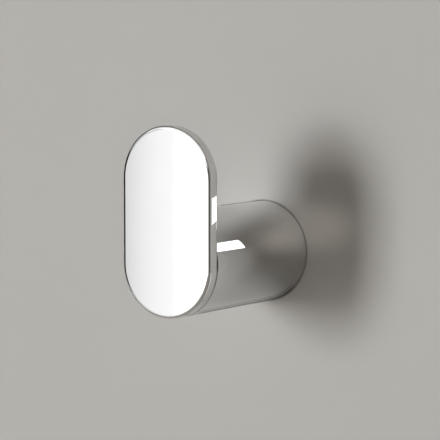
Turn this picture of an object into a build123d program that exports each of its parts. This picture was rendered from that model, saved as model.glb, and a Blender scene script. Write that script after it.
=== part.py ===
from build123d import *
import os

# Wall-mounted robe hook: a pill-shaped front plate on a round post, held by a concealed wall fixing.
# The origin is the centre of the post's wall end. +Y points into the wall, the hook stands out
# along -Y and +Z is up. A station is a distance from the wall towards the room, in millimetres.

# Outline of the hook
post_diameter = 28.0  # also the width of the front plate
projection = 47.0  # from the wall to the front face
plate_thickness = 4.0
plate_rise = 22.75  # from the post's axis up to the centre of the plate's top arc
front_rounding = 1.0  # the plate's front edge
back_bevel = 0.7  # the plate's back edge
wall_end_bevel = 0.4  # the post's edge on the wall

# Spigot on the back of the plate, and the web in the post that it is pulled against
spigot_diameter = 16.0
spigot_length = 6.0
spigot_chamfer = 0.5
spigot_clearance = 0.05  # radial
spigot_end_gap = 0.2
web_thickness = 6.0

# Cap screw that holds the plate on the post
plate_screw_diameter = 5.0
plate_screw_head_diameter = 8.5
plate_screw_head_height = 5.0
plate_screw_head_chamfer = 0.4
plate_screw_socket_flats = 4.0
plate_screw_socket_depth = 2.5
plate_screw_hole_clearance = 0.25  # radial, through the web
plate_screw_tip_gap = 1.2  # from its tip to the floor of the tapped hole
plate_floor = 2.0  # left between the tapped hole and the front face
thread_clearance = 0.05  # radial, between a thread's crest and its tapped hole
thread_chamfer = 0.6

# Dowel that keeps the plate upright
pin_diameter = 2.5
pin_height = 5.5  # above the post's axis
pin_in_spigot = 3.9
pin_hole_floor = 1.8  # left in the web behind the pin's hole
pin_end_gap = 0.3
pin_clearance = 0.02  # radial
pin_chamfer = 0.3

# Bush on the wall, inside the post's bore
bore_diameter = 20.0
bore_chamfer = 0.5
bush_length = 14.0
bush_clearance = 0.15  # radial
bush_chamfer = 1.0
bush_floor = 8.0  # from the wall to the floor of the counterbore for the wall screw's head
bush_relief_diameter = 12.0
bush_relief_depth = 0.6
groove_station = 7.0
groove_depth = 3.0  # the groove's flanks meet at a right angle

# Set screw on the underside of the post, with its cone in the bush's groove
grub_diameter = 5.0
grub_recess = 0.7  # below the post's surface
grub_tip_flat_radius = 0.4
grub_seat_gap = 0.05
grub_socket_flats = 2.5
grub_socket_depth = 2.5
grub_end_chamfer = 0.4

# Countersunk wall screw
wall_screw_diameter = 4.0
wall_screw_length = 40.0
wall_screw_point_length = 5.0
wall_screw_point_radius = 0.2
wall_screw_head_diameter = 8.0
wall_screw_head_rim = 0.3
wall_screw_hole_clearance = 0.25  # radial, through the bush
wall_screw_head_clearance = 0.3  # radial, in the bush's counterbore
wall_screw_seat_gap = 0.05
recess_span = 4.4
recess_width = 1.1
recess_depth = 1.8

# Nylon wall plug
plug_diameter = 6.0
plug_length = 30.0
plug_neck = 8.0  # plain stretch at the mouth
plug_collar_diameter = 8.0
plug_collar_thickness = 0.5
plug_bore_clearance = 0.02  # radial, round the wall screw
plug_slit_width = 0.8
plug_barbs = 3
plug_barb_depth = 0.35
plug_barb_land = 1.2
plug_tip_length = 2.0
plug_tip_radius = 2.45

# Radii and stations that follow from the sizes above
post_radius = post_diameter / 2
bore_radius = bore_diameter / 2
bush_radius = bore_radius - bush_clearance
groove_radius = bush_radius - groove_depth
post_length = projection - plate_thickness
spigot_end = post_length - spigot_length
socket_floor = spigot_end - spigot_end_gap
web_back = socket_floor - web_thickness
tapped_floor = projection - plate_floor
plate_screw_tip = tapped_floor - plate_screw_tip_gap
pin_back = web_back + pin_hole_floor + pin_end_gap
pin_front = spigot_end + pin_in_spigot
pin_hole_radius = pin_diameter / 2 + pin_clearance

# Planes and axes: WALL faces the room, and SECTION is the upright lengthwise section through the
# post's axis, with stations along its first axis and radii along its second
WALL = Plane.XZ
SECTION = Plane(origin=(0, 0, 0), x_dir=(0, -1, 0), z_dir=(-1, 0, 0))
POST_AXIS = Axis((0, 0, 0), (0, -1, 0))
GRUB_AXIS = Axis((0, -groove_station, 0), (0, 0, -1))
UNDERSIDE = Plane(origin=(0, -groove_station, -post_radius), x_dir=(1, 0, 0), z_dir=(0, 0, -1))


# Front plate: a pill as wide as the post, with its lower arc on the post's axis
with BuildPart() as front_plate:
    with BuildSketch(WALL.offset(post_length)):
        with Locations((0, plate_rise / 2)):
            SlotCenterToCenter(plate_rise, post_diameter, rotation=90)
    extrude(amount=plate_thickness)
    fillet(front_plate.edges().group_by(Axis.Y)[0], radius=front_rounding)
    chamfer(front_plate.edges().group_by(Axis.Y)[-1], length=back_bevel)
    with BuildSketch(WALL.offset(post_length)):
        Circle(spigot_diameter / 2)
    extrude(amount=-spigot_length)
    chamfer(front_plate.edges().group_by(Axis.Y)[-1], length=spigot_chamfer)
    with BuildSketch(WALL.offset(spigot_end)):
        Circle(plate_screw_diameter / 2 + thread_clearance)
    extrude(amount=tapped_floor - spigot_end, mode=Mode.SUBTRACT)
    with BuildSketch(WALL.offset(spigot_end)):
        with Locations((0, pin_height)):
            Circle(pin_hole_radius)
    extrude(amount=pin_in_spigot + pin_end_gap, mode=Mode.SUBTRACT)

# Post: turned, bored from the wall end for the bush and from the front for the spigot
with BuildPart() as post:
    with BuildSketch(SECTION):
        with BuildLine():
            Polyline(
                (0, bore_radius),
                (web_back, bore_radius),
                (web_back, plate_screw_diameter / 2 + plate_screw_hole_clearance),
                (socket_floor, plate_screw_diameter / 2 + plate_screw_hole_clearance),
                (socket_floor, spigot_diameter / 2 + spigot_clearance),
                (post_length, spigot_diameter / 2 + spigot_clearance),
                (post_length, post_radius),
                (0, post_radius),
                close=True,
            )
        make_face()
    revolve(axis=POST_AXIS)
    chamfer(post.edges().group_by(Axis.Y)[-1].sort_by(SortBy.RADIUS)[-1], length=wall_end_bevel)
    chamfer(post.edges().group_by(Axis.Y)[-1].sort_by(SortBy.RADIUS)[0], length=bore_chamfer)
    with BuildSketch(WALL.offset(socket_floor)):
        with Locations((0, pin_height)):
            Circle(pin_hole_radius)
    extrude(amount=-(web_thickness - pin_hole_floor), mode=Mode.SUBTRACT)
    with BuildSketch(UNDERSIDE):
        Circle(grub_diameter / 2 + thread_clearance)
    extrude(amount=-post_radius, mode=Mode.SUBTRACT)

# Cap screw: head on the back of the web, threaded end in the plate's spigot
with BuildPart() as plate_screw:
    head_radius = plate_screw_head_diameter / 2
    shank_radius = plate_screw_diameter / 2
    head_back = web_back - plate_screw_head_height
    with BuildSketch(SECTION):
        with BuildLine():
            Polyline(
                (head_back, 0),
                (head_back, head_radius - plate_screw_head_chamfer),
                (head_back + plate_screw_head_chamfer, head_radius),
                (web_back, head_radius),
                (web_back, shank_radius),
                (plate_screw_tip - thread_chamfer, shank_radius),
                (plate_screw_tip, shank_radius - thread_chamfer),
                (plate_screw_tip, 0),
                close=True,
            )
        make_face()
    revolve(axis=POST_AXIS)
    with BuildSketch(WALL.offset(head_back)):
        RegularPolygon(plate_screw_socket_flats / 2, side_count=6, major_radius=False)
    extrude(amount=plate_screw_socket_depth, mode=Mode.SUBTRACT)

# Dowel across the joint between the web and the spigot
with BuildPart() as locating_pin:
    with BuildSketch(WALL.offset(pin_back)):
        with Locations((0, pin_height)):
            Circle(pin_diameter / 2)
    extrude(amount=pin_front - pin_back)
    chamfer(locating_pin.edges().filter_by(GeomType.CIRCLE), length=pin_chamfer)

# Wall bush: turned, with a V groove for the set screw and a countersunk hole for the wall screw
with BuildPart() as wall_bush:
    screw_hole_radius = wall_screw_diameter / 2 + wall_screw_hole_clearance
    head_bore_radius = wall_screw_head_diameter / 2 + wall_screw_head_clearance
    countersink_depth = head_bore_radius - screw_hole_radius
    with BuildSketch(SECTION):
        with BuildLine():
            Polyline(
                (0, bush_relief_diameter / 2),
                (0, bush_radius),
                (groove_station - groove_depth, bush_radius),
                (groove_station, groove_radius),
                (groove_station + groove_depth, bush_radius),
                (bush_length - bush_chamfer, bush_radius),
                (bush_length, bush_radius - bush_chamfer),
                (bush_length, head_bore_radius),
                (bush_floor, head_bore_radius),
                (bush_floor - countersink_depth, screw_hole_radius),
                (bush_relief_depth, screw_hole_radius),
                (bush_relief_depth, bush_relief_diameter / 2),
                close=True,
            )
        make_face()
    revolve(axis=POST_AXIS)

# Set screw: its right-angled cone lies in the bush's groove
with BuildPart() as grub_screw:
    grub_radius = grub_diameter / 2
    cone_apex = groove_radius + grub_seat_gap
    grub_end = post_radius - grub_recess
    with BuildSketch(SECTION):
        with BuildLine():
            Polyline(
                (groove_station, -(cone_apex + grub_tip_flat_radius)),
                (groove_station + grub_tip_flat_radius, -(cone_apex + grub_tip_flat_radius)),
                (groove_station + grub_radius, -(cone_apex + grub_radius)),
                (groove_station + grub_radius, -(grub_end - grub_end_chamfer)),
                (groove_station + grub_radius - grub_end_chamfer, -grub_end),
                (groove_station, -grub_end),
                close=True,
            )
        make_face()
    revolve(axis=GRUB_AXIS)
    with BuildSketch(UNDERSIDE.offset(-grub_recess)):
        RegularPolygon(grub_socket_flats / 2, side_count=6, major_radius=False)
    extrude(amount=-grub_socket_depth, mode=Mode.SUBTRACT)

# Wall screw: countersunk head in the bush, point past the end of the plug
with BuildPart() as wall_screw:
    screw_radius = wall_screw_diameter / 2
    screw_head_radius = wall_screw_head_diameter / 2
    head_rim = bush_floor - wall_screw_head_clearance + wall_screw_seat_gap
    head_top = head_rim + wall_screw_head_rim
    screw_tip = head_top - wall_screw_length
    with BuildSketch(SECTION):
        with BuildLine():
            Polyline(
                (head_top, 0),
                (head_top, screw_head_radius),
                (head_rim, screw_head_radius),
                (head_rim - (screw_head_radius - screw_radius), screw_radius),
                (screw_tip + wall_screw_point_length, screw_radius),
                (screw_tip, wall_screw_point_radius),
                (screw_tip, 0),
                close=True,
            )
        make_face()
    revolve(axis=POST_AXIS)
    with BuildSketch(WALL.offset(head_top)):
        Rectangle(recess_span, recess_width)
        Rectangle(recess_width, recess_span)
    extrude(amount=-recess_depth, mode=Mode.SUBTRACT)

# Wall plug: collar in the bush's relief, plain neck, and barbed legs split crosswise
with BuildPart() as wall_plug:
    plug_radius = plug_diameter / 2
    plug_bore_radius = wall_screw_diameter / 2 + plug_bore_clearance
    barb_pitch = (plug_length - plug_neck - plug_tip_length) / plug_barbs
    barb_points = []
    for barb in range(plug_barbs):
        barb_start = -(plug_neck + barb * barb_pitch)
        barb_points.append((barb_start - barb_pitch + plug_barb_land, plug_radius - plug_barb_depth))
        barb_points.append((barb_start - barb_pitch + plug_barb_land, plug_radius))
        barb_points.append((barb_start - barb_pitch, plug_radius))
    with BuildSketch(SECTION):
        with BuildLine():
            Polyline(
                (plug_collar_thickness, plug_bore_radius),
                (plug_collar_thickness, plug_collar_diameter / 2),
                (0, plug_collar_diameter / 2),
                (0, plug_radius),
                (-plug_neck, plug_radius),
                *barb_points,
                (-plug_length, plug_tip_radius),
                (-plug_length, plug_bore_radius),
                close=True,
            )
        make_face()
    revolve(axis=POST_AXIS)
    with BuildSketch(WALL.offset(-plug_length)):
        Rectangle(plug_collar_diameter, plug_slit_width)
        Rectangle(plug_slit_width, plug_collar_diameter)
    extrude(amount=plug_length - plug_neck, mode=Mode.SUBTRACT)

os.makedirs("parts", exist_ok=True)

front_plate.part.label = "front_plate"
export_step(front_plate.part, "parts/front_plate.step")

post.part.label = "post"
export_step(post.part, "parts/post.step")

plate_screw.part.label = "plate_screw"
export_step(plate_screw.part, "parts/plate_screw.step")

locating_pin.part.label = "locating_pin"
export_step(locating_pin.part, "parts/locating_pin.step")

wall_bush.part.label = "wall_bush"
export_step(wall_bush.part, "parts/wall_bush.step")

grub_screw.part.label = "grub_screw"
export_step(grub_screw.part, "parts/grub_screw.step")

wall_screw.part.label = "wall_screw"
export_step(wall_screw.part, "parts/wall_screw.step")

wall_plug.part.label = "wall_plug"
export_step(wall_plug.part, "parts/wall_plug.step")
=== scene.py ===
import math

import bmesh
import bpy
from mathutils import Matrix, Vector


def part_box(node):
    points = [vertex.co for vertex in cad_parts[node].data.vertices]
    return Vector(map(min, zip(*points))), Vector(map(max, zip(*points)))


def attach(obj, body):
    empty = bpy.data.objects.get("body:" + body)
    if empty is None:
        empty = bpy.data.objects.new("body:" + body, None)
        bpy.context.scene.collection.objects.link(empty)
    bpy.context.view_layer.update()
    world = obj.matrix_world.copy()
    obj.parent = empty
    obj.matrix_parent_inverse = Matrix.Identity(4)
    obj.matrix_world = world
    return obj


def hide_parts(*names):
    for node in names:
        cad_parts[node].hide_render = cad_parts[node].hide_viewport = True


# Looks of the robe hook: polished plate and post, and the concealed wall fixing behind them.
# Lengths are in metres. +Y goes into the wall, the hook stands out along -Y and +Z is up.

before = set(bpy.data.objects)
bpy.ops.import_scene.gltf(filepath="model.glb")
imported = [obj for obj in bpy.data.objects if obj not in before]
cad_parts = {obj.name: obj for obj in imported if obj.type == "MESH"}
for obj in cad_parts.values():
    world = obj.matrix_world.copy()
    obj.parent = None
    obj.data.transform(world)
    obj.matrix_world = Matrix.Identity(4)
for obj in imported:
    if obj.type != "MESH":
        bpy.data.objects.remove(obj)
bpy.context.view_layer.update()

MM = 0.001
scene = bpy.context.scene

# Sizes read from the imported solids
plate_low, plate_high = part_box("front_plate")
post_low, post_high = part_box("post")
plate_screw_low, plate_screw_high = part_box("plate_screw")
bush_low, bush_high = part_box("wall_bush")
grub_low, grub_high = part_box("grub_screw")
wall_screw_low, wall_screw_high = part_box("wall_screw")
plug_low, plug_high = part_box("wall_plug")
half_width = plate_high.x
front_y = plate_low.y
spigot_end_y = plate_high.y
plate_back_y = post_low.y
upper_arc_z = plate_high.z - half_width
post_radius = post_high.x
grub_station_y = (grub_low.y + grub_high.y) / 2

# Edges and holes of the plate and post
front_rounding = 1.0 * MM
back_rounding = 1.0 * MM
wall_end_bevel = 0.4 * MM
bore_radius = 10.0 * MM
bore_mouth_bevel = 0.5 * MM
spigot_root_y = front_y + 1.8 * MM
spigot_radius = 8.0 * MM
spigot_chamfer = 0.5 * MM
socket_radius = 8.05 * MM
socket_floor_y = spigot_end_y + 0.2 * MM
web_back_y = socket_floor_y + 6.0 * MM
screw_hole_radius = 2.75 * MM
tapped_hole_radius = 2.55 * MM
tapped_floor_y = front_y + 2.0 * MM
grub_hole_radius = 2.55 * MM
pin_height = 5.5 * MM
pin_hole_radius = 1.27 * MM
pin_floor_in_plate_y = spigot_end_y - 4.2 * MM
pin_floor_in_post_y = web_back_y - 1.8 * MM

# Thread of the plate screw and the set screw
machine_pitch = 0.8 * MM
machine_thread_depth = 0.48 * MM
machine_crest_width = 0.12 * MM

# Fineness and tolerances of the modelling
PLATE_ARC_STEPS = 128
POST_STEPS = 320
BUSH_STEPS = 192
SMALL_STEPS = 96
ROUNDING_SEGMENTS = 12
HOLE_SEGMENTS = 64
SMALL_HOLE_SEGMENTS = 48
THREAD_STEPS = 36
SMOOTH_ANGLE = 30  # degrees
THREAD_SMOOTH_ANGLE = 25
FLAT_NORMAL = 0.99999
OVERCUT = 1.0 * MM
THREAD_OVERLAP = 0.12 * MM
MERGE_DISTANCE = 0.0005 * MM
PLANE_TOLERANCE = 0.001 * MM
RADIUS_TOLERANCE = 0.002 * MM

# Stage: a plain wall, and a room of light panels and dark cards for the chrome to mirror
WHITE = (1, 1, 1)
BLACK = (0, 0, 0)
WALL_COLOUR = (0.437, 0.432, 0.417)
ROOM_COLOUR = (1.0, 0.91, 0.82)
FLOOR_COLOUR = (0.42, 0.41, 0.39)
FLOOR_GLOW_COLOUR = (1, 0.99, 0.97)
RIGHT_CARD_COLOUR = (1, 0.985, 0.96)
GREY_CARD_COLOUR = (1, 0.96, 0.92)
WALL_LEFT = -0.35
WALL_RIGHT = 0.08
WALL_LOW = -0.30
WALL_HIGH = 0.35
WALL_Y = 0.05 * MM
WALL_OVERLAP = 0.6 * MM
# Painted contact shadow: a thin dark ring on the wall round the post's foot, this share of the wall's
# colour, fading out between these distances beyond the post's radius
PAINTED_CONTACT_SHADOW = 0.55
PAINTED_SHADOW_START = 0.05 * MM
PAINTED_SHADOW_END = 0.30 * MM
ROOM_LEFT = -6.0
ROOM_RIGHT = 3.9
FLOOR_Z = -1.0
CEILING_Z = 3.0
PANEL_Y = -4.0
PANEL_LOW = -0.98
PANEL_HIGH = 1.35
KEY_LEFT = -2.60
KEY_RIGHT = -1.28
KEY_LOW = -0.22
KEY_STRENGTH = 24.9
FACE_WHITE_LEFT = -2.814
FACE_GLOW_WIDTH = 0.40
FRONT_RIGHT = 1.8
LEFT_CARD_X = -3.4
LEFT_CARD_FRONT = -3.9
LEFT_CARD_HIGH = 1.5
LEFT_GLOW_LOW = 0.15
LAMP_SIZE = 1.2

# Ways that a stage panel faces
TO_ROOM = (0, -1, 0)
TO_WALL = (0, 1, 0)
TO_LEFT = (-1, 0, 0)
TO_RIGHT = (1, 0, 0)
UP = (0, 0, 1)
DOWN = (0, 0, -1)


def new_piece(name, bm, material, smooth_angle=SMOOTH_ANGLE):
    """A mesh object made from bm, smooth except where faces meet at more than smooth_angle."""
    mesh = bpy.data.meshes.new(name)
    bm.to_mesh(mesh)
    bm.free()
    mesh.materials.append(material)
    finish_shading(mesh, smooth_angle)
    piece = bpy.data.objects.new(name, mesh)
    scene.collection.objects.link(piece)
    return piece


def finish_shading(mesh, smooth_angle):
    """Smooth shading with sharp corners. Faces square to the post's axis stay exactly flat."""
    for polygon in mesh.polygons:
        polygon.use_smooth = abs(polygon.normal.y) < FLAT_NORMAL
    mesh.set_sharp_from_angle(angle=math.radians(smooth_angle))


def cut(piece, bm, operation="DIFFERENCE", smooth_angle=SMOOTH_ANGLE):
    """Cuts the shape in bm from the piece, or joins it on, and keeps the result as the piece's mesh."""
    tool_mesh = bpy.data.meshes.new("tool")
    bm.to_mesh(tool_mesh)
    bm.free()
    tool = bpy.data.objects.new("tool", tool_mesh)
    scene.collection.objects.link(tool)
    boolean = piece.modifiers.new("cut", "BOOLEAN")
    boolean.operation = operation
    boolean.solver = "EXACT"
    boolean.object = tool
    evaluated = piece.evaluated_get(bpy.context.evaluated_depsgraph_get())
    result = bpy.data.meshes.new_from_object(evaluated)
    piece.modifiers.clear()
    old = piece.data
    piece.data = result
    result.name = piece.name
    bpy.data.meshes.remove(old)
    bpy.data.objects.remove(tool)
    bpy.data.meshes.remove(tool_mesh)
    finish_shading(result, smooth_angle)


def rod(radius, start, end, segments=HOLE_SEGMENTS, end_radius=None):
    """A closed cylinder, cone or prism between two points, to cut a hole with."""
    bm = bmesh.new()
    run = Vector(end) - Vector(start)
    turn = run.to_track_quat("Z", "Y").to_matrix().to_4x4()
    bmesh.ops.create_cone(
        bm, cap_ends=True, segments=segments, radius1=radius,
        radius2=radius if end_radius is None else end_radius, depth=run.length,
        matrix=Matrix.Translation((Vector(start) + Vector(end)) / 2) @ turn,
    )
    return bm


def block(low, high):
    """A box between two corners."""
    bm = bmesh.new()
    bmesh.ops.create_cube(bm, size=1)
    low, high = Vector(low), Vector(high)
    bmesh.ops.scale(bm, verts=bm.verts, vec=high - low)
    bmesh.ops.translate(bm, verts=bm.verts, vec=(low + high) / 2)
    return bm


def closed_run(bm, profile):
    """The corners and edges of a closed profile of (y, radius) corners."""
    corners = [bm.verts.new((0, y, radius)) for y, radius in profile]
    edges = [bm.edges.new((a, b)) for a, b in zip(corners, corners[1:] + corners[:1])]
    return corners, edges


def turned(profile, steps):
    """A solid turned about the post's axis. The profile is a closed run of (y, radius) corners."""
    bm = bmesh.new()
    corners, edges = closed_run(bm, profile)
    bmesh.ops.spin(
        bm, geom=corners + edges, cent=(0, 0, 0), axis=(0, 1, 0), angle=2 * math.pi, steps=steps,
        use_merge=True,
    )
    bmesh.ops.remove_doubles(bm, verts=bm.verts, dist=MERGE_DISTANCE)
    on_axis = [e for e in bm.edges if all(math.hypot(v.co.x, v.co.z) < MERGE_DISTANCE for v in e.verts)]
    bmesh.ops.delete(bm, geom=on_axis, context="EDGES")
    bmesh.ops.recalc_face_normals(bm, faces=bm.faces)
    return bm


def helical_ridge(start_y, end_y, root_radius, crest_radius, pitch, crest_width):
    """A closed helical ridge round the post's axis, to join on a screw's core."""
    bm = bmesh.new()
    foot_radius = root_radius - THREAD_OVERLAP
    half_foot = 0.43 * pitch
    half_crest = crest_width / 2
    corners, edges = closed_run(bm, [
        (start_y - half_foot, foot_radius),
        (start_y - half_crest, crest_radius),
        (start_y + half_crest, crest_radius),
        (start_y + half_foot, foot_radius),
    ])
    steps = int(abs(end_y - start_y) / pitch * THREAD_STEPS)
    advance = math.copysign(pitch / THREAD_STEPS, end_y - start_y)
    last = bmesh.ops.spin(
        bm, geom=corners + edges, cent=(0, 0, 0), axis=(0, 1, 0), dvec=(0, advance, 0),
        angle=2 * math.pi * steps / THREAD_STEPS, steps=steps,
    )["geom_last"]
    bmesh.ops.contextual_create(bm, geom=edges)
    bmesh.ops.contextual_create(bm, geom=[e for e in last if isinstance(e, bmesh.types.BMEdge)])
    bmesh.ops.recalc_face_normals(bm, faces=bm.faces)
    return bm


def level_edges(bm, y):
    """The edges that lie in the plane at y."""
    return [e for e in bm.edges if all(abs(v.co.y - y) < PLANE_TOLERANCE for v in e.verts)]


def ring_edges(bm, y, radius):
    """The edges of the circle at y with that radius."""
    found = []
    for edge in level_edges(bm, y):
        if all(abs(math.hypot(v.co.x, v.co.z) - radius) < RADIUS_TOLERANCE for v in edge.verts):
            found.append(edge)
    return found


def round_edges(bm, edges, size, segments):
    """Rounds the edges with a bevel of that size."""
    bmesh.ops.bevel(
        bm, geom=edges, offset=size, offset_type="OFFSET", segments=segments, profile=0.5, affect="EDGES",
        material=-1, clamp_overlap=False,
    )


def even_reflections(piece):
    """Normals that follow the large faces, so that flats and cylinders reflect without waves."""
    piece.modifiers.new("even_reflections", "WEIGHTED_NORMAL").keep_sharp = True


def surface_nodes(name, metallic, coordinate_scale=(1, 1, 1)):
    """A new material with its shader and a scaled Object coordinate to hang patterns on."""
    material = bpy.data.materials.new(name)
    material.use_nodes = True
    nodes, links = material.node_tree.nodes, material.node_tree.links
    shader = nodes["Principled BSDF"]
    shader.inputs["Metallic"].default_value = metallic
    place = nodes.new("ShaderNodeTexCoord")
    mapping = nodes.new("ShaderNodeMapping")
    mapping.inputs["Scale"].default_value = coordinate_scale
    links.new(place.outputs["Object"], mapping.inputs["Vector"])
    return material, nodes, links, shader, mapping.outputs["Vector"]


def noise(nodes, links, vector, scale, detail):
    """A soft random pattern, as a value from 0 to 1."""
    texture = nodes.new("ShaderNodeTexNoise")
    texture.inputs["Scale"].default_value = scale
    texture.inputs["Detail"].default_value = detail
    links.new(vector, texture.inputs["Vector"])
    return texture.outputs["Fac"]


def ramp_to(nodes, links, value, socket, low, high):
    """Drives a socket between two numbers or two colours by the middle of a 0 to 1 pattern's range."""
    start, end = 0.3, 0.7
    if isinstance(low, tuple):
        ramp = nodes.new("ShaderNodeValToRGB")
        ramp.color_ramp.elements[0].position = start
        ramp.color_ramp.elements[1].position = end
        ramp.color_ramp.elements[0].color = (*low, 1)
        ramp.color_ramp.elements[1].color = (*high, 1)
        links.new(value, ramp.inputs["Fac"])
        links.new(ramp.outputs["Color"], socket)
    else:
        span = nodes.new("ShaderNodeMapRange")
        span.inputs["From Min"].default_value = start
        span.inputs["From Max"].default_value = end
        span.inputs["To Min"].default_value = low
        span.inputs["To Max"].default_value = high
        links.new(value, span.inputs["Value"])
        links.new(span.outputs["Result"], socket)


def bump(nodes, links, shader, height, strength, distance):
    """Fine relief in the shader's normal, from a pattern's value."""
    node = nodes.new("ShaderNodeBump")
    node.inputs["Strength"].default_value = strength
    node.inputs["Distance"].default_value = distance
    links.new(height, node.inputs["Height"])
    links.new(node.outputs["Normal"], shader.inputs["Normal"])


def polished_chrome():
    """Mirror plating: neutral and very smooth, with faint polishing haze."""
    material, nodes, links, shader, vector = surface_nodes("polished_chrome", metallic=1.0)
    haze = noise(nodes, links, vector, scale=90, detail=4)
    ramp_to(nodes, links, haze, shader.inputs["Base Color"], (0.738, 0.739, 0.742), (0.756, 0.756, 0.755))
    polish = noise(nodes, links, vector, scale=260, detail=3)
    ramp_to(nodes, links, polish, shader.inputs["Roughness"], 0.014, 0.022)
    return material


def machined_steel():
    """Stainless steel off the lathe, with fine marks round the screw or pin."""
    material, nodes, links, shader, vector = surface_nodes(
        "machined_steel", metallic=1.0, coordinate_scale=(1, 9, 1),
    )
    marks = noise(nodes, links, vector, scale=900, detail=3)
    tint = noise(nodes, links, vector, scale=250, detail=4)
    ramp_to(nodes, links, tint, shader.inputs["Base Color"], (0.52, 0.52, 0.53), (0.60, 0.60, 0.61))
    ramp_to(nodes, links, marks, shader.inputs["Roughness"], 0.20, 0.36)
    bump(nodes, links, shader, marks, strength=0.15, distance=0.02 * MM)
    return material


def turned_brass():
    """Bare turned brass with tool rings and a little tarnish."""
    material, nodes, links, shader, vector = surface_nodes("turned_brass", metallic=1.0)
    tarnish = noise(nodes, links, vector, scale=220, detail=5)
    ramp_to(nodes, links, tarnish, shader.inputs["Base Color"], (0.70, 0.51, 0.25), (0.81, 0.64, 0.36))
    rings = nodes.new("ShaderNodeTexWave")
    rings.wave_type = "BANDS"
    rings.bands_direction = "Y"
    rings.inputs["Scale"].default_value = 900
    rings.inputs["Distortion"].default_value = 0.6
    links.new(vector, rings.inputs["Vector"])
    ramp_to(nodes, links, rings.outputs["Fac"], shader.inputs["Roughness"], 0.22, 0.34)
    bump(nodes, links, shader, rings.outputs["Fac"], strength=0.2, distance=0.03 * MM)
    return material


def zinc_plate():
    """Zinc plating on a wood screw: bluish grey, softly mottled."""
    material, nodes, links, shader, vector = surface_nodes("zinc_plate", metallic=1.0)
    mottle = noise(nodes, links, vector, scale=420, detail=5)
    ramp_to(nodes, links, mottle, shader.inputs["Base Color"], (0.58, 0.61, 0.65), (0.72, 0.73, 0.72))
    grain = noise(nodes, links, vector, scale=1500, detail=2)
    ramp_to(nodes, links, grain, shader.inputs["Roughness"], 0.26, 0.42)
    return material


def moulded_nylon():
    """Grey moulded nylon with a fine grain."""
    material, nodes, links, shader, vector = surface_nodes("moulded_nylon", metallic=0.0)
    tint = noise(nodes, links, vector, scale=160, detail=4)
    ramp_to(nodes, links, tint, shader.inputs["Base Color"], (0.59, 0.60, 0.61), (0.65, 0.66, 0.67))
    grain = noise(nodes, links, vector, scale=2600, detail=3)
    ramp_to(nodes, links, grain, shader.inputs["Roughness"], 0.46, 0.60)
    bump(nodes, links, shader, grain, strength=0.25, distance=0.04 * MM)
    return material


def make_front_plate(chrome):
    """The pill-shaped plate with its rounded edges, and the spigot on its back."""
    bm = bmesh.new()
    start = bm.verts.new((-half_width, front_y, 0))
    lower = bmesh.ops.spin(
        bm, geom=[start], cent=(0, front_y, 0), axis=(0, -1, 0), angle=math.pi, steps=PLATE_ARC_STEPS,
    )
    corner = [v for v in lower["geom_last"] if isinstance(v, bmesh.types.BMVert)][0]
    side = bmesh.ops.extrude_vert_indiv(bm, verts=[corner])
    bmesh.ops.translate(bm, verts=side["verts"], vec=(0, 0, upper_arc_z))
    bmesh.ops.spin(
        bm, geom=side["verts"], cent=(0, front_y, upper_arc_z), axis=(0, -1, 0), angle=math.pi,
        steps=PLATE_ARC_STEPS,
    )
    face = bmesh.ops.contextual_create(bm, geom=list(bm.edges))["faces"]
    sides = bmesh.ops.extrude_face_region(bm, geom=face, use_keep_orig=True)
    moved = [v for v in sides["geom"] if isinstance(v, bmesh.types.BMVert)]
    bmesh.ops.translate(bm, verts=moved, vec=(0, plate_back_y - front_y, 0))
    bmesh.ops.recalc_face_normals(bm, faces=bm.faces)
    front, back = level_edges(bm, front_y), level_edges(bm, plate_back_y)
    round_edges(bm, front, front_rounding, ROUNDING_SEGMENTS)
    round_edges(bm, back, back_rounding, ROUNDING_SEGMENTS)
    plate = new_piece("front_plate_polished", bm, chrome)
    spigot = turned([
        (spigot_root_y, 0.0),
        (spigot_root_y, spigot_radius),
        (spigot_end_y - spigot_chamfer, spigot_radius),
        (spigot_end_y, spigot_radius - spigot_chamfer),
        (spigot_end_y, 0.0),
    ], SMALL_STEPS)
    cut(plate, spigot, "UNION")
    past_end_y = spigot_end_y + OVERCUT
    cut(plate, rod(tapped_hole_radius, (0, tapped_floor_y, 0), (0, past_end_y, 0)))
    pin_floor, pin_mouth = (0, pin_floor_in_plate_y, pin_height), (0, past_end_y, pin_height)
    cut(plate, rod(pin_hole_radius, pin_floor, pin_mouth, SMALL_HOLE_SEGMENTS))
    even_reflections(plate)
    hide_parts("front_plate")
    return plate


def make_post(chrome):
    """The turned post, bored for the wall bush and for the plate's spigot."""
    bm = turned([
        (0.0, bore_radius),
        (web_back_y, bore_radius),
        (web_back_y, screw_hole_radius),
        (socket_floor_y, screw_hole_radius),
        (socket_floor_y, socket_radius),
        (plate_back_y, socket_radius),
        (plate_back_y, post_radius),
        (0.0, post_radius),
    ], POST_STEPS)
    round_edges(bm, ring_edges(bm, 0.0, post_radius), wall_end_bevel, segments=4)
    round_edges(bm, ring_edges(bm, 0.0, bore_radius), bore_mouth_bevel, segments=2)
    post = new_piece("post_polished", bm, chrome)
    below_post, inside_bore = -1.2 * post_radius, -0.5 * post_radius
    cut(post, rod(grub_hole_radius, (0, grub_station_y, below_post), (0, grub_station_y, inside_bore)))
    pin_mouth, pin_floor = (0, socket_floor_y - OVERCUT, pin_height), (0, pin_floor_in_post_y, pin_height)
    cut(post, rod(pin_hole_radius, pin_mouth, pin_floor, SMALL_HOLE_SEGMENTS))
    even_reflections(post)
    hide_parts("post")
    return post


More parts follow.
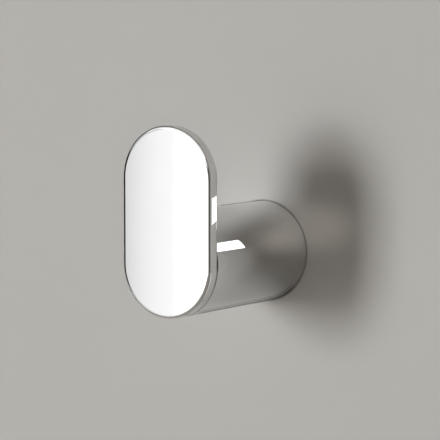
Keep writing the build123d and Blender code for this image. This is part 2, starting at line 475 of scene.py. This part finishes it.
def hex_socket(piece, flats, depth, mouth_y):
    """A hex socket on the post's axis, with a countersunk mouth at mouth_y and its floor nearer -Y."""
    corner_radius = flats / math.sqrt(3)
    sink_depth = 0.2 * MM
    sink_floor_radius = corner_radius - 0.15 * MM
    sink_top_radius = corner_radius + 0.25 * MM
    sink_floor, sink_top = (0, mouth_y - sink_depth, 0), (0, mouth_y + sink_depth, 0)
    cut(piece, rod(corner_radius, (0, mouth_y - depth, 0), sink_top, segments=6))
    cut(piece, rod(sink_floor_radius, sink_floor, sink_top, SMALL_HOLE_SEGMENTS, sink_top_radius))


def make_plate_screw(steel):
    """Cap screw from the back of the web into the plate, with a knurled head and a hex socket."""
    head_y = plate_screw_high.y
    tip_y = plate_screw_low.y
    head_radius = plate_screw_high.x
    head_chamfer = 0.4 * MM
    seat_break, seat_break_height = 0.1 * MM, 0.5 * MM
    crest = 2.5 * MM
    root = crest - machine_thread_depth
    neck_end_y = web_back_y - 0.8 * MM
    core_y = web_back_y - 1.2 * MM
    tip_chamfer = 0.5 * MM
    knurl_valley = 0.975
    bm = turned([
        (head_y, 0.0),
        (head_y, head_radius - head_chamfer),
        (head_y - head_chamfer, head_radius),
        (web_back_y + seat_break_height, head_radius),
        (web_back_y, head_radius - seat_break),
        (web_back_y, crest),
        (neck_end_y, crest),
        (core_y, root),
        (tip_y + tip_chamfer, root),
        (tip_y, root - tip_chamfer),
        (tip_y, 0.0),
    ], SMALL_STEPS)
    for v in bm.verts:
        if math.hypot(v.co.x, v.co.z) > head_radius - RADIUS_TOLERANCE:
            tooth = round(math.atan2(v.co.x, v.co.z) / (2 * math.pi) * SMALL_STEPS)
            if tooth % 2:
                v.co.x *= knurl_valley
                v.co.z *= knurl_valley
    screw = new_piece("plate_screw_threaded", bm, steel, THREAD_SMOOTH_ANGLE)
    thread_start_y = web_back_y - 1.6 * MM
    thread_end_y = tip_y + 0.8 * MM
    ridge = helical_ridge(thread_start_y, thread_end_y, root, crest, machine_pitch, machine_crest_width)
    cut(screw, ridge, "UNION", THREAD_SMOOTH_ANGLE)
    hex_socket(screw, flats=4.0 * MM, depth=2.5 * MM, mouth_y=head_y)
    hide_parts("plate_screw")
    return screw


def make_grub_screw(steel):
    """Set screw under the post. It is made along the post's axis, then stood upright in its hole."""
    outer_end = -grub_low.z
    tip = -grub_high.z
    crest = grub_high.x
    root = crest - machine_thread_depth
    tip_flat = 0.4 * MM
    cone_end = tip + root - tip_flat
    end_chamfer = 0.3 * MM
    bm = turned([
        (tip, 0.0),
        (tip, tip_flat),
        (cone_end, root),
        (outer_end - end_chamfer, root),
        (outer_end, root - end_chamfer),
        (outer_end, 0.0),
    ], SMALL_STEPS)
    screw = new_piece("grub_screw_threaded", bm, steel, THREAD_SMOOTH_ANGLE)
    thread_start = outer_end - 0.45 * MM
    thread_end = cone_end + 0.55 * MM
    ridge = helical_ridge(thread_start, thread_end, root, crest, machine_pitch, machine_crest_width)
    cut(screw, ridge, "UNION", THREAD_SMOOTH_ANGLE)
    hex_socket(screw, flats=2.5 * MM, depth=2.5 * MM, mouth_y=outer_end)
    upright = Matrix.Translation((0, grub_station_y, 0)) @ Matrix.Rotation(-math.pi / 2, 4, "X")
    screw.data.transform(upright)
    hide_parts("grub_screw")
    return screw


def make_wall_screw(zinc):
    """Countersunk wood screw with a cross recess, a helical thread and a point."""
    head_y = wall_screw_low.y
    tip_y = wall_screw_high.y
    head_radius = wall_screw_high.x
    crest, root = 2.0 * MM, 1.3 * MM
    rim_y = head_y + 0.3 * MM
    cone_y = rim_y + head_radius - crest
    plain_end_y = 1.0 * MM
    core_y = plain_end_y + 0.6 * MM
    taper_y = tip_y - 5.0 * MM
    point_radius = 0.13 * MM
    bm = turned([
        (head_y, 0.0),
        (head_y, head_radius),
        (rim_y, head_radius),
        (cone_y, crest),
        (plain_end_y, crest),
        (core_y, root),
        (taper_y, root),
        (tip_y, point_radius),
        (tip_y, 0.0),
    ], SMALL_STEPS)
    screw = new_piece("wall_screw_threaded", bm, zinc, THREAD_SMOOTH_ANGLE)
    thread_start_y = plain_end_y + 1.3 * MM
    thread_end_y = tip_y - 1.2 * MM
    ridge = helical_ridge(
        thread_start_y, thread_end_y, root, crest, pitch=1.8 * MM, crest_width=0.15 * MM,
    )
    thread_taper = 0.9
    for v in ridge.verts:
        beyond = max(0.0, (v.co.y - taper_y) / (tip_y - taper_y))
        v.co.x *= 1 - thread_taper * beyond
        v.co.z *= 1 - thread_taper * beyond
    cut(screw, ridge, "UNION", THREAD_SMOOTH_ANGLE)
    cut_cross_recess(screw, head_y)
    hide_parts("wall_screw")
    return screw


def cut_cross_recess(screw, head_y):
    """Two crossed slots in a screw's head, narrower at their floor."""
    long_side, short_side = 4.4 * MM, 1.1 * MM
    depth, above = 1.8 * MM, 0.3 * MM
    floor_share = 0.6
    for span, width in ((long_side, short_side), (short_side, long_side)):
        low = (-span / 2, head_y - above, -width / 2)
        high = (span / 2, head_y + depth, width / 2)
        recess = block(low, high)
        for v in recess.verts:
            if v.co.y > head_y:
                v.co.x *= floor_share
                v.co.z *= floor_share
        cut(screw, recess, "DIFFERENCE", THREAD_SMOOTH_ANGLE)


def make_wall_bush(brass):
    """Turned bush on the wall, with the V groove that the set screw's cone lies in."""
    radius = bush_high.x
    bush_front_y = bush_low.y
    front_chamfer = 1.0 * MM
    groove_half = 3.0 * MM
    groove_back_y = grub_station_y + groove_half
    groove_front_y = grub_station_y - groove_half
    screw_hole, head_bore, head_floor_y = 2.25 * MM, 4.3 * MM, -8.0 * MM
    relief_radius, relief_y = 6.0 * MM, -0.6 * MM
    edge_break = 0.15 * MM
    bm = turned([
        (0.0, relief_radius),
        (0.0, radius),
        (groove_back_y, radius),
        (grub_station_y, radius - groove_half),
        (groove_front_y, radius),
        (bush_front_y + front_chamfer, radius),
        (bush_front_y, radius - front_chamfer),
        (bush_front_y, head_bore),
        (head_floor_y, head_bore),
        (head_floor_y + head_bore - screw_hole, screw_hole),
        (relief_y, screw_hole),
        (relief_y, relief_radius),
    ], BUSH_STEPS)
    for edge_y, edge_radius in (
        (0.0, radius), (0.0, relief_radius), (groove_back_y, radius), (groove_front_y, radius),
        (bush_front_y, head_bore),
    ):
        round_edges(bm, ring_edges(bm, edge_y, edge_radius), edge_break, segments=2)
    bush = new_piece("wall_bush_turned", bm, brass)
    even_reflections(bush)
    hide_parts("wall_bush")
    return bush


def make_wall_plug(nylon):
    """Moulded plug: collar on the wall, plain neck, and barbed legs split crosswise."""
    collar_y, collar_radius, collar_break = plug_low.y, plug_high.x, 0.15 * MM
    end_y, end_radius = plug_high.y, 2.45 * MM
    radius, bore = 3.0 * MM, 2.02 * MM
    neck_end, tip_length = 8.0 * MM, 2.0 * MM
    barbs, barb_depth, barb_land, barb_break = 3, 0.35 * MM, 1.2 * MM, 0.1 * MM
    barb_pitch = (end_y - neck_end - tip_length) / barbs
    crests = [neck_end + (barb + 1) * barb_pitch - barb_land for barb in range(barbs)]
    profile = [
        (collar_y, bore),
        (collar_y, collar_radius),
        (0.0, collar_radius),
        (0.0, radius),
        (neck_end, radius),
    ]
    for crest_y in crests:
        profile += [(crest_y, radius - barb_depth), (crest_y, radius), (crest_y + barb_land, radius)]
    profile += [(end_y, end_radius), (end_y, bore)]
    bm = turned(profile, SMALL_STEPS)
    round_edges(bm, ring_edges(bm, collar_y, collar_radius), collar_break, segments=2)
    for crest_y in crests:
        round_edges(bm, ring_edges(bm, crest_y, radius), barb_break, segments=2)
    plug = new_piece("wall_plug_moulded", bm, nylon)
    half_slit, past_side, past_end_y = 0.4 * MM, 6.0 * MM, end_y + OVERCUT
    cut(plug, block((-past_side, neck_end, -half_slit), (past_side, past_end_y, half_slit)))
    cut(plug, block((-half_slit, neck_end, -past_side), (half_slit, past_end_y, past_side)))
    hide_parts("wall_plug")
    return plug


def dress_locating_pin(steel):
    """The pin's solid is right as it is, and takes the screws' steel."""
    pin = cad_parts["locating_pin"]
    pin.data.materials.clear()
    pin.data.materials.append(steel)


def emission_material(name, colour, strength):
    """A plain light. At a strength of 1 a panel shows its colour as it is written."""
    material = bpy.data.materials.new(name)
    material.use_nodes = True
    nodes, links = material.node_tree.nodes, material.node_tree.links
    nodes.clear()
    output = nodes.new("ShaderNodeOutputMaterial")
    emission = nodes.new("ShaderNodeEmission")
    emission.inputs["Color"].default_value = (*colour, 1)
    emission.inputs["Strength"].default_value = strength
    links.new(emission.outputs["Emission"], output.inputs["Surface"])
    return material


def wall_paint():
    """Plain pale grey paint, with a painted contact shadow: a thin dark ring round the post's foot. It is
    clear from behind and behind the post, so the fixing shows there.
    """
    material = bpy.data.materials.new("wall_paint")
    material.use_nodes = True
    nodes, links = material.node_tree.nodes, material.node_tree.links
    shader = nodes["Principled BSDF"]
    shader.inputs["Roughness"].default_value = 0.8
    shader.inputs["Specular IOR Level"].default_value = 0.1
    place = nodes.new("ShaderNodeTexCoord")
    across = nodes.new("ShaderNodeMapping")
    across.inputs["Scale"].default_value = (1, 0, 1)
    links.new(place.outputs["Object"], across.inputs["Vector"])
    distance = nodes.new("ShaderNodeVectorMath")
    distance.operation = "LENGTH"
    links.new(across.outputs["Vector"], distance.inputs[0])
    # Painted contact shadow: the wall darkens to a share of its colour just round the post's foot
    painted_shadow = nodes.new("ShaderNodeMapRange")
    painted_shadow.inputs["From Min"].default_value = post_radius + PAINTED_SHADOW_START
    painted_shadow.inputs["From Max"].default_value = post_radius + PAINTED_SHADOW_END
    links.new(distance.outputs["Value"], painted_shadow.inputs["Value"])
    paint = nodes.new("ShaderNodeMix")
    paint.data_type = "RGBA"
    paint.inputs["A"].default_value = (*[PAINTED_CONTACT_SHADOW * c for c in WALL_COLOUR], 1)
    paint.inputs["B"].default_value = (*WALL_COLOUR, 1)
    links.new(painted_shadow.outputs["Result"], paint.inputs["Factor"])
    links.new(paint.outputs["Result"], shader.inputs["Base Color"])
    clear = nodes.new("ShaderNodeBsdfTransparent")
    side = nodes.new("ShaderNodeNewGeometry")
    hole = nodes.new("ShaderNodeMath")
    hole.operation = "LESS_THAN"
    hole.inputs[1].default_value = post_radius - WALL_OVERLAP
    links.new(distance.outputs["Value"], hole.inputs[0])
    open_part = nodes.new("ShaderNodeMath")
    open_part.operation = "MAXIMUM"
    links.new(side.outputs["Backfacing"], open_part.inputs[0])
    links.new(hole.outputs["Value"], open_part.inputs[1])
    mix = nodes.new("ShaderNodeMixShader")
    links.new(open_part.outputs["Value"], mix.inputs["Fac"])
    links.new(shader.outputs["BSDF"], mix.inputs[1])
    links.new(clear.outputs["BSDF"], mix.inputs[2])
    links.new(mix.outputs["Shader"], nodes["Material Output"].inputs["Surface"])
    return material


def floor_paint():
    """Plain pale paint, a little darker than the wall."""
    material = bpy.data.materials.new("floor_paint")
    material.use_nodes = True
    shader = material.node_tree.nodes["Principled BSDF"]
    shader.inputs["Base Color"].default_value = (*FLOOR_COLOUR, 1)
    shader.inputs["Roughness"].default_value = 0.9
    shader.inputs["Specular IOR Level"].default_value = 0.1
    return material


def graded_light(name, colour, *steps):
    """A light whose strength is the sum of one or two smooth steps.

    A step is (axis, start, end, strength up to the start, strength from the end on).
    """
    material = emission_material(name, colour, strength=1)
    nodes, links = material.node_tree.nodes, material.node_tree.links
    place = nodes.new("ShaderNodeTexCoord")
    split = nodes.new("ShaderNodeSeparateXYZ")
    links.new(place.outputs["Object"], split.inputs["Vector"])
    total = nodes.new("ShaderNodeMath")
    total.operation = "ADD"
    total.inputs[1].default_value = 0
    for socket, (axis, start, end, before, after) in enumerate(steps):
        step = nodes.new("ShaderNodeMapRange")
        step.interpolation_type = "SMOOTHSTEP"
        step.inputs["From Min"].default_value = start
        step.inputs["From Max"].default_value = end
        step.inputs["To Min"].default_value = before
        step.inputs["To Max"].default_value = after
        links.new(split.outputs[axis], step.inputs["Value"])
        links.new(step.outputs["Result"], total.inputs[socket])
    links.new(total.outputs["Value"], nodes["Emission"].inputs["Strength"])
    return material


def round_fade(nodes, links, centre, radii, top):
    """A value that falls smoothly from top at a centre (x, z) to 0 at an ellipse round it."""
    place = nodes.new("ShaderNodeTexCoord")
    mapping = nodes.new("ShaderNodeMapping")
    mapping.vector_type = "TEXTURE"
    mapping.inputs["Location"].default_value = (centre[0], 0, centre[1])
    mapping.inputs["Scale"].default_value = (radii[0], 1, radii[1])
    links.new(place.outputs["Object"], mapping.inputs["Vector"])
    fade = nodes.new("ShaderNodeTexGradient")
    fade.gradient_type = "SPHERICAL"
    links.new(mapping.outputs["Vector"], fade.inputs["Vector"])
    smooth = nodes.new("ShaderNodeMapRange")
    smooth.interpolation_type = "SMOOTHSTEP"
    smooth.inputs["To Max"].default_value = top
    links.new(fade.outputs["Fac"], smooth.inputs["Value"])
    return smooth.outputs["Result"]


def dark_veil(name, depth):
    """A clear sheet that takes a share of the light from what is seen through it."""
    material = bpy.data.materials.new(name)
    material.use_nodes = True
    nodes, links = material.node_tree.nodes, material.node_tree.links
    nodes.clear()
    clear = nodes.new("ShaderNodeBsdfTransparent")
    dark = nodes.new("ShaderNodeEmission")
    dark.inputs["Strength"].default_value = 0
    mix = nodes.new("ShaderNodeMixShader")
    mix.inputs["Fac"].default_value = depth
    links.new(clear.outputs["BSDF"], mix.inputs[1])
    links.new(dark.outputs["Emission"], mix.inputs[2])
    output = nodes.new("ShaderNodeOutputMaterial")
    links.new(mix.outputs["Shader"], output.inputs["Surface"])
    return material


def lower_shade():
    """A veil that deepens what the post's underside mirrors, most of all close to its foot."""
    material = dark_veil("lower_shade", depth=0)
    nodes, links = material.node_tree.nodes, material.node_tree.links
    depth = round_fade(nodes, links, centre=(0.010, -0.022), radii=(0.032, 0.030), top=0.26)
    links.new(depth, nodes["Mix Shader"].inputs["Fac"])
    return material


def side_glow():
    """A veil with a soft round glow, mirrored in the post's right side."""
    material = emission_material("side_glow", ROOM_COLOUR, strength=1)
    nodes, links = material.node_tree.nodes, material.node_tree.links
    glow = nodes["Emission"]
    strength = round_fade(nodes, links, centre=(0.018, 0.013), radii=(0.016, 0.018), top=0.105)
    links.new(strength, glow.inputs["Strength"])
    clear = nodes.new("ShaderNodeBsdfTransparent")
    both = nodes.new("ShaderNodeAddShader")
    links.new(glow.outputs["Emission"], both.inputs[0])
    links.new(clear.outputs["BSDF"], both.inputs[1])
    links.new(both.outputs["Shader"], nodes["Material Output"].inputs["Surface"])
    return material


def facing_corners(y, left, right, low, high):
    """Corners of an upright rectangle parallel to the wall."""
    return [(left, y, low), (left, y, high), (right, y, high), (right, y, low)]


def side_corners(x, front, back, low, high):
    """Corners of an upright rectangle square to the wall."""
    return [(x, front, low), (x, front, high), (x, back, high), (x, back, low)]


def level_corners(z, left, right, front, back):
    """Corners of a level rectangle."""
    return [(left, front, z), (right, front, z), (right, back, z), (left, back, z)]


def stage_panel(name, corners, material, facing):
    """A flat four-cornered stage piece whose front is turned to facing."""
    bm = bmesh.new()
    made = bmesh.ops.contextual_create(bm, geom=[bm.verts.new(c) for c in corners])
    bm.normal_update()
    if made["faces"][0].normal.dot(Vector(facing)) < 0:
        bmesh.ops.reverse_faces(bm, faces=made["faces"])
    mesh = bpy.data.meshes.new(name)
    bm.to_mesh(mesh)
    bm.free()
    mesh.materials.append(material)
    panel = bpy.data.objects.new(name, mesh)
    scene.collection.objects.link(panel)
    return panel


def mirrored_panel(name, corners, material, facing):
    """A stage panel that only reflections see. It lights and shades nothing else."""
    panel = stage_panel(name, corners, material, facing)
    panel.visible_camera = False
    panel.visible_diffuse = False
    panel.visible_shadow = False


def make_wall_and_floor():
    """The wall behind the hook, and a floor with two glowing parts that the chrome mirrors."""
    wall = facing_corners(WALL_Y, WALL_LEFT, WALL_RIGHT, WALL_LOW, WALL_HIGH)
    stage_panel("wall", wall, wall_paint(), TO_ROOM)
    floor = level_corners(FLOOR_Z, left=-6, right=6, front=-6, back=4)
    stage_panel("floor", floor, floor_paint(), UP)
    glow_z = FLOOR_Z + 0.01
    front_light = graded_light("front_floor_glow", FLOOR_GLOW_COLOUR, ("Y", -1.5, -0.5, 1.0, 0.3))
    front_part = level_corners(glow_z, left=-2.8, right=-0.7, front=-2.6, back=-0.2)
    mirrored_panel("front_floor_glow", front_part, front_light, UP)
    back_light = emission_material("back_floor_glow", FLOOR_GLOW_COLOUR, strength=0.9)
    back_part = level_corners(glow_z, left=-4, right=4, front=0.3, back=4)
    mirrored_panel("back_floor_glow", back_part, back_light, UP)


def make_backdrop():
    """Pale walls and floor of a plain room all round. Only the camera sees them."""
    paint = emission_material("backdrop_paint", WALL_COLOUR, strength=1)
    reach, low, high = 2.2, -0.9, 2.2
    for name, corners, facing in (
        ("backdrop_front", facing_corners(-reach, -reach, reach, low, high), TO_WALL),
        ("backdrop_back", facing_corners(reach, -reach, reach, low, high), TO_ROOM),
        ("backdrop_left", side_corners(-reach, -reach, reach, low, high), TO_RIGHT),
        ("backdrop_right", side_corners(reach, -reach, reach, low, high), TO_LEFT),
        ("backdrop_floor", level_corners(low, -reach, reach, -reach, reach), UP),
    ):
        panel = stage_panel(name, corners, paint, facing)
        panel.visible_diffuse = False
        panel.visible_glossy = False
        panel.visible_shadow = False


def make_light_panels():
    """A window-like key on the left, the glow on the plate's face, and softer fills beside and above."""
    key_light = emission_material("key_light", WHITE, KEY_STRENGTH)
    key_corners = facing_corners(PANEL_Y, KEY_LEFT, KEY_RIGHT, KEY_LOW, PANEL_HIGH)
    key = stage_panel("key_panel", key_corners, key_light, TO_WALL)
    key.visible_camera = False
    glow_left = FACE_WHITE_LEFT - FACE_GLOW_WIDTH
    face_light = graded_light(
        "face_light", WHITE,
        ("X", FACE_WHITE_LEFT, FACE_WHITE_LEFT + 0.05, 0, 2.4),
        ("X", glow_left, FACE_WHITE_LEFT, 0, 1.27),
    )
    behind_key_y = PANEL_Y - 0.02
    face_corners = facing_corners(behind_key_y, glow_left, KEY_RIGHT, PANEL_LOW, PANEL_HIGH)
    face = stage_panel("face_panel", face_corners, face_light, TO_WALL)
    face.visible_camera = False
    front_light = graded_light("front_fill_light", WHITE, ("Z", -0.36, -0.05, 1.32, 1.0))
    front_corners = facing_corners(PANEL_Y, KEY_RIGHT, FRONT_RIGHT, PANEL_LOW, PANEL_HIGH)
    mirrored_panel("front_fill", front_corners, front_light, TO_WALL)
    shade = emission_material("front_shade", WHITE, strength=0.03)
    shade_corners = facing_corners(PANEL_Y, FRONT_RIGHT, ROOM_RIGHT, PANEL_LOW, PANEL_HIGH)
    mirrored_panel("front_shade", shade_corners, shade, TO_WALL)
    upper_light = emission_material("upper_fill_light", WHITE, strength=1.7)
    upper_corners = facing_corners(PANEL_Y, ROOM_LEFT, ROOM_RIGHT, low=PANEL_HIGH, high=9.0)
    mirrored_panel("upper_fill", upper_corners, upper_light, TO_WALL)


def make_highlight_cards():
    """Two small bright cards close to the hook, for the highlights on the post and on the plate's rim.

    Their corners are in millimetres.
    """
    card = emission_material("highlight_card", WHITE, strength=2.2)
    for name, facing, corners in (
        ("post_highlight", (-1, 0, -1), [
            (20.1, -29.1, 13.2), (19.9, -16.8, 13.2), (22.7, -14.6, 8.0), (22.8, -30.4, 8.2),
        ]),
        ("rim_highlight", TO_LEFT, [
            (17.4, -42.0, 17.6), (17.4, -38.0, 18.5), (17.4, -38.0, 12.1), (17.4, -42.0, 10.6),
        ]),
    ):
        mirrored_panel(name, [Vector(corner) * MM for corner in corners], card, facing)


def make_dark_cards():
    """Cards on the left and on the wall, for the dark outline of the plate's left and upper edge."""
    dark = emission_material("dark_card", BLACK, strength=0)
    left_corners = side_corners(
        LEFT_CARD_X, front=LEFT_CARD_FRONT, back=-0.35, low=FLOOR_Z, high=LEFT_CARD_HIGH,
    )
    mirrored_panel("left_dark_card", left_corners, dark, TO_RIGHT)
    left_light = graded_light("left_upper_light", WHITE, ("Z", LEFT_GLOW_LOW, 0.6, 0, 0.95))
    glow_x = LEFT_CARD_X + 0.02
    glow_corners = side_corners(
        glow_x, front=LEFT_CARD_FRONT, back=-1.5, low=LEFT_GLOW_LOW, high=LEFT_CARD_HIGH,
    )
    mirrored_panel("left_upper_card", glow_corners, left_light, TO_RIGHT)
    # The wall cards are painted reflections: only the chrome sees the wall black and dim grey here
    card_right, card_low = -0.055, -0.06
    far_corner, near_corner = (WALL_LEFT, 0, 0.16), (card_right, 0, 0.035)
    mirrored_panel("wall_dark_card", [
        (WALL_LEFT, 0, card_low), far_corner, near_corner, (card_right, 0, card_low),
    ], dark, TO_ROOM)
    grey = emission_material("grey_card", GREY_CARD_COLOUR, strength=0.1)
    grey_far_corner, grey_near_corner = (WALL_LEFT, 0, 0.24), (-0.04, 0, 0.16)
    mirrored_panel("wall_grey_card", [
        far_corner, grey_far_corner, grey_near_corner, near_corner,
    ], grey, TO_ROOM)


def make_wall_veils():
    """Veils just in front of the wall that only reflections see: painted shade and a painted glow in what
    the post mirrors, and painted dark lines along its upper and lower edges.

    The planes that they lie in, and the (x, z) corners of the lines, are in millimetres.
    """
    lower_y, side_y, line_y, band_y = -0.05, -0.1, -0.2, -0.3
    reach = {"left": -0.065, "right": 0.040, "low": -0.075, "high": 0.065}
    # Painted shade low down and a painted glow on the right, in what the post mirrors
    mirrored_panel("lower_shade_veil", facing_corners(lower_y * MM, **reach), lower_shade(), TO_ROOM)
    mirrored_panel("side_glow_veil", facing_corners(side_y * MM, **reach), side_glow(), TO_ROOM)
    # Painted shade: thin dark lines, and a softer band below, along the post's upper and lower edges in
    # its reflection
    for name, depth, y, corners in (
        ("upper_shade_line", 0.42, line_y, [(3.4, 13.6), (-16.0, 12.0), (-14.0, 16.6), (3.0, 13.8)]),
        ("under_shade_line", 0.36, line_y, [(4.6, -13.4), (-26.0, -22.8), (-16.0, -30.0), (5.0, -14.4)]),
        ("under_shade_line_end", 0.36, line_y, [(12.6, -6.4), (4.6, -13.4), (5.0, -14.4), (9.4, -11.4)]),
        ("under_shade_band", 0.18, band_y, [(4.6, -13.4), (-26.0, -22.8), (-10.5, -36.0), (6.4, -15.4)]),
        ("under_shade_band_end", 0.18, band_y, [(12.8, -6.2), (4.6, -13.4), (6.4, -15.4), (10.6, -11.6)]),
    ):
        places = [Vector((x, y, z)) * MM for x, z in corners]
        mirrored_panel(name, places, dark_veil(name, depth), TO_ROOM)


def make_ceiling_and_right_side():
    """A pale ceiling and a dimmer card on the right, mirrored in the plate's edges and the post."""
    ceiling_light = emission_material("ceiling_light", WHITE, strength=1.0)
    ceiling = level_corners(CEILING_Z, ROOM_LEFT, ROOM_RIGHT, front=PANEL_Y, back=-0.9)
    mirrored_panel("ceiling", ceiling, ceiling_light, DOWN)
    right_light = emission_material("right_room_light", RIGHT_CARD_COLOUR, strength=0.42)
    right_side = side_corners(ROOM_RIGHT, front=-1.5, back=0.0, low=FLOOR_Z, high=CEILING_Z)
    mirrored_panel("right_room_card", right_side, right_light, TO_LEFT)


def aimed_lamp(name, kind, energy, colour, place, aim):
    """A lamp at a place, turned to the point that it lights."""
    data = bpy.data.lights.new(name, kind)
    data.energy = energy
    data.color = colour
    lamp = bpy.data.objects.new(name, data)
    lamp.location = place
    lamp.rotation_euler = (Vector(aim) - lamp.location).to_track_quat("-Z", "Y").to_euler()
    scene.collection.objects.link(lamp)
    return lamp


def make_room_fill():
    """A broad lamp beside the camera. Its shadows fall behind the plate, out of sight."""
    place, hook = (2.8, PANEL_Y, 0.4), (0, 0, 0)
    lamp = aimed_lamp("room_fill", "AREA", energy=29, colour=ROOM_COLOUR, place=place, aim=hook)
    lamp.data.size = LAMP_SIZE
    lamp.visible_glossy = False


def make_back_light():
    """A soft lamp behind the wall, for the fixing. The wall keeps it off the front."""
    place, fixing = (-1.3, 1.7, 1.4), (0, 0, 0)
    lamp = aimed_lamp("back_light", "AREA", energy=45, colour=WHITE, place=place, aim=fixing)
    lamp.data.size = LAMP_SIZE


def make_shadow_glow():
    """A small soft lamp on the right that lifts the shadow beside the post."""
    place, beside_post = (0.14, -0.08, 0.016), (0.0175, 0, 0.0075)
    lamp = aimed_lamp("shadow_glow", "SPOT", energy=0.27, colour=ROOM_COLOUR, place=place, aim=beside_post)
    lamp.data.spot_size = math.radians(6.5)
    lamp.data.spot_blend = 1.0
    lamp.data.shadow_soft_size = 3.0 * MM
    lamp.visible_glossy = False


def make_world():
    """Soft light all round, dim on the wall's room side and brighter behind it."""
    world = bpy.data.worlds.new("soft_room")
    world.use_nodes = True
    nodes, links = world.node_tree.nodes, world.node_tree.links
    background = nodes["Background"]
    background.inputs["Color"].default_value = (*ROOM_COLOUR, 1)
    place = nodes.new("ShaderNodeTexCoord")
    split = nodes.new("ShaderNodeSeparateXYZ")
    links.new(place.outputs["Generated"], split.inputs["Vector"])
    strength = nodes.new("ShaderNodeMapRange")
    strength.inputs["From Min"].default_value = 0.05
    strength.inputs["From Max"].default_value = 0.35
    strength.inputs["To Min"].default_value = 0.092
    strength.inputs["To Max"].default_value = 0.55
    links.new(split.outputs["Y"], strength.inputs["Value"])
    links.new(strength.outputs["Result"], background.inputs["Strength"])
    scene.world = world


def make_camera():
    """The photo's viewpoint, with a long lens from the right and a little above."""
    data = bpy.data.cameras.new("camera")
    data.lens = 193.93
    data.sensor_width = 36
    data.clip_start = 0.01
    data.clip_end = 20
    camera = bpy.data.objects.new("camera", data)
    camera.location = (0.3579, -0.5487, 0.0698)
    tilt_down, turn_left = 0.0934, 0.5966
    camera.rotation_euler = (math.pi / 2 - tilt_down, 0, turn_left)
    scene.collection.objects.link(camera)
    scene.camera = camera


chrome = polished_chrome()
steel = machined_steel()
pieces = [
    make_front_plate(chrome),
    make_post(chrome),
    make_plate_screw(steel),
    make_grub_screw(steel),
    make_wall_screw(zinc_plate()),
    make_wall_bush(turned_brass()),
    make_wall_plug(moulded_nylon()),
]
for piece in pieces:
    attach(piece, "root")
dress_locating_pin(steel)

make_wall_and_floor()
make_backdrop()
make_light_panels()
make_highlight_cards()
make_dark_cards()
make_wall_veils()
make_ceiling_and_right_side()
make_room_fill()
make_back_light()
make_shadow_glow()
make_world()
make_camera()
scene.view_settings.view_transform = "Standard"
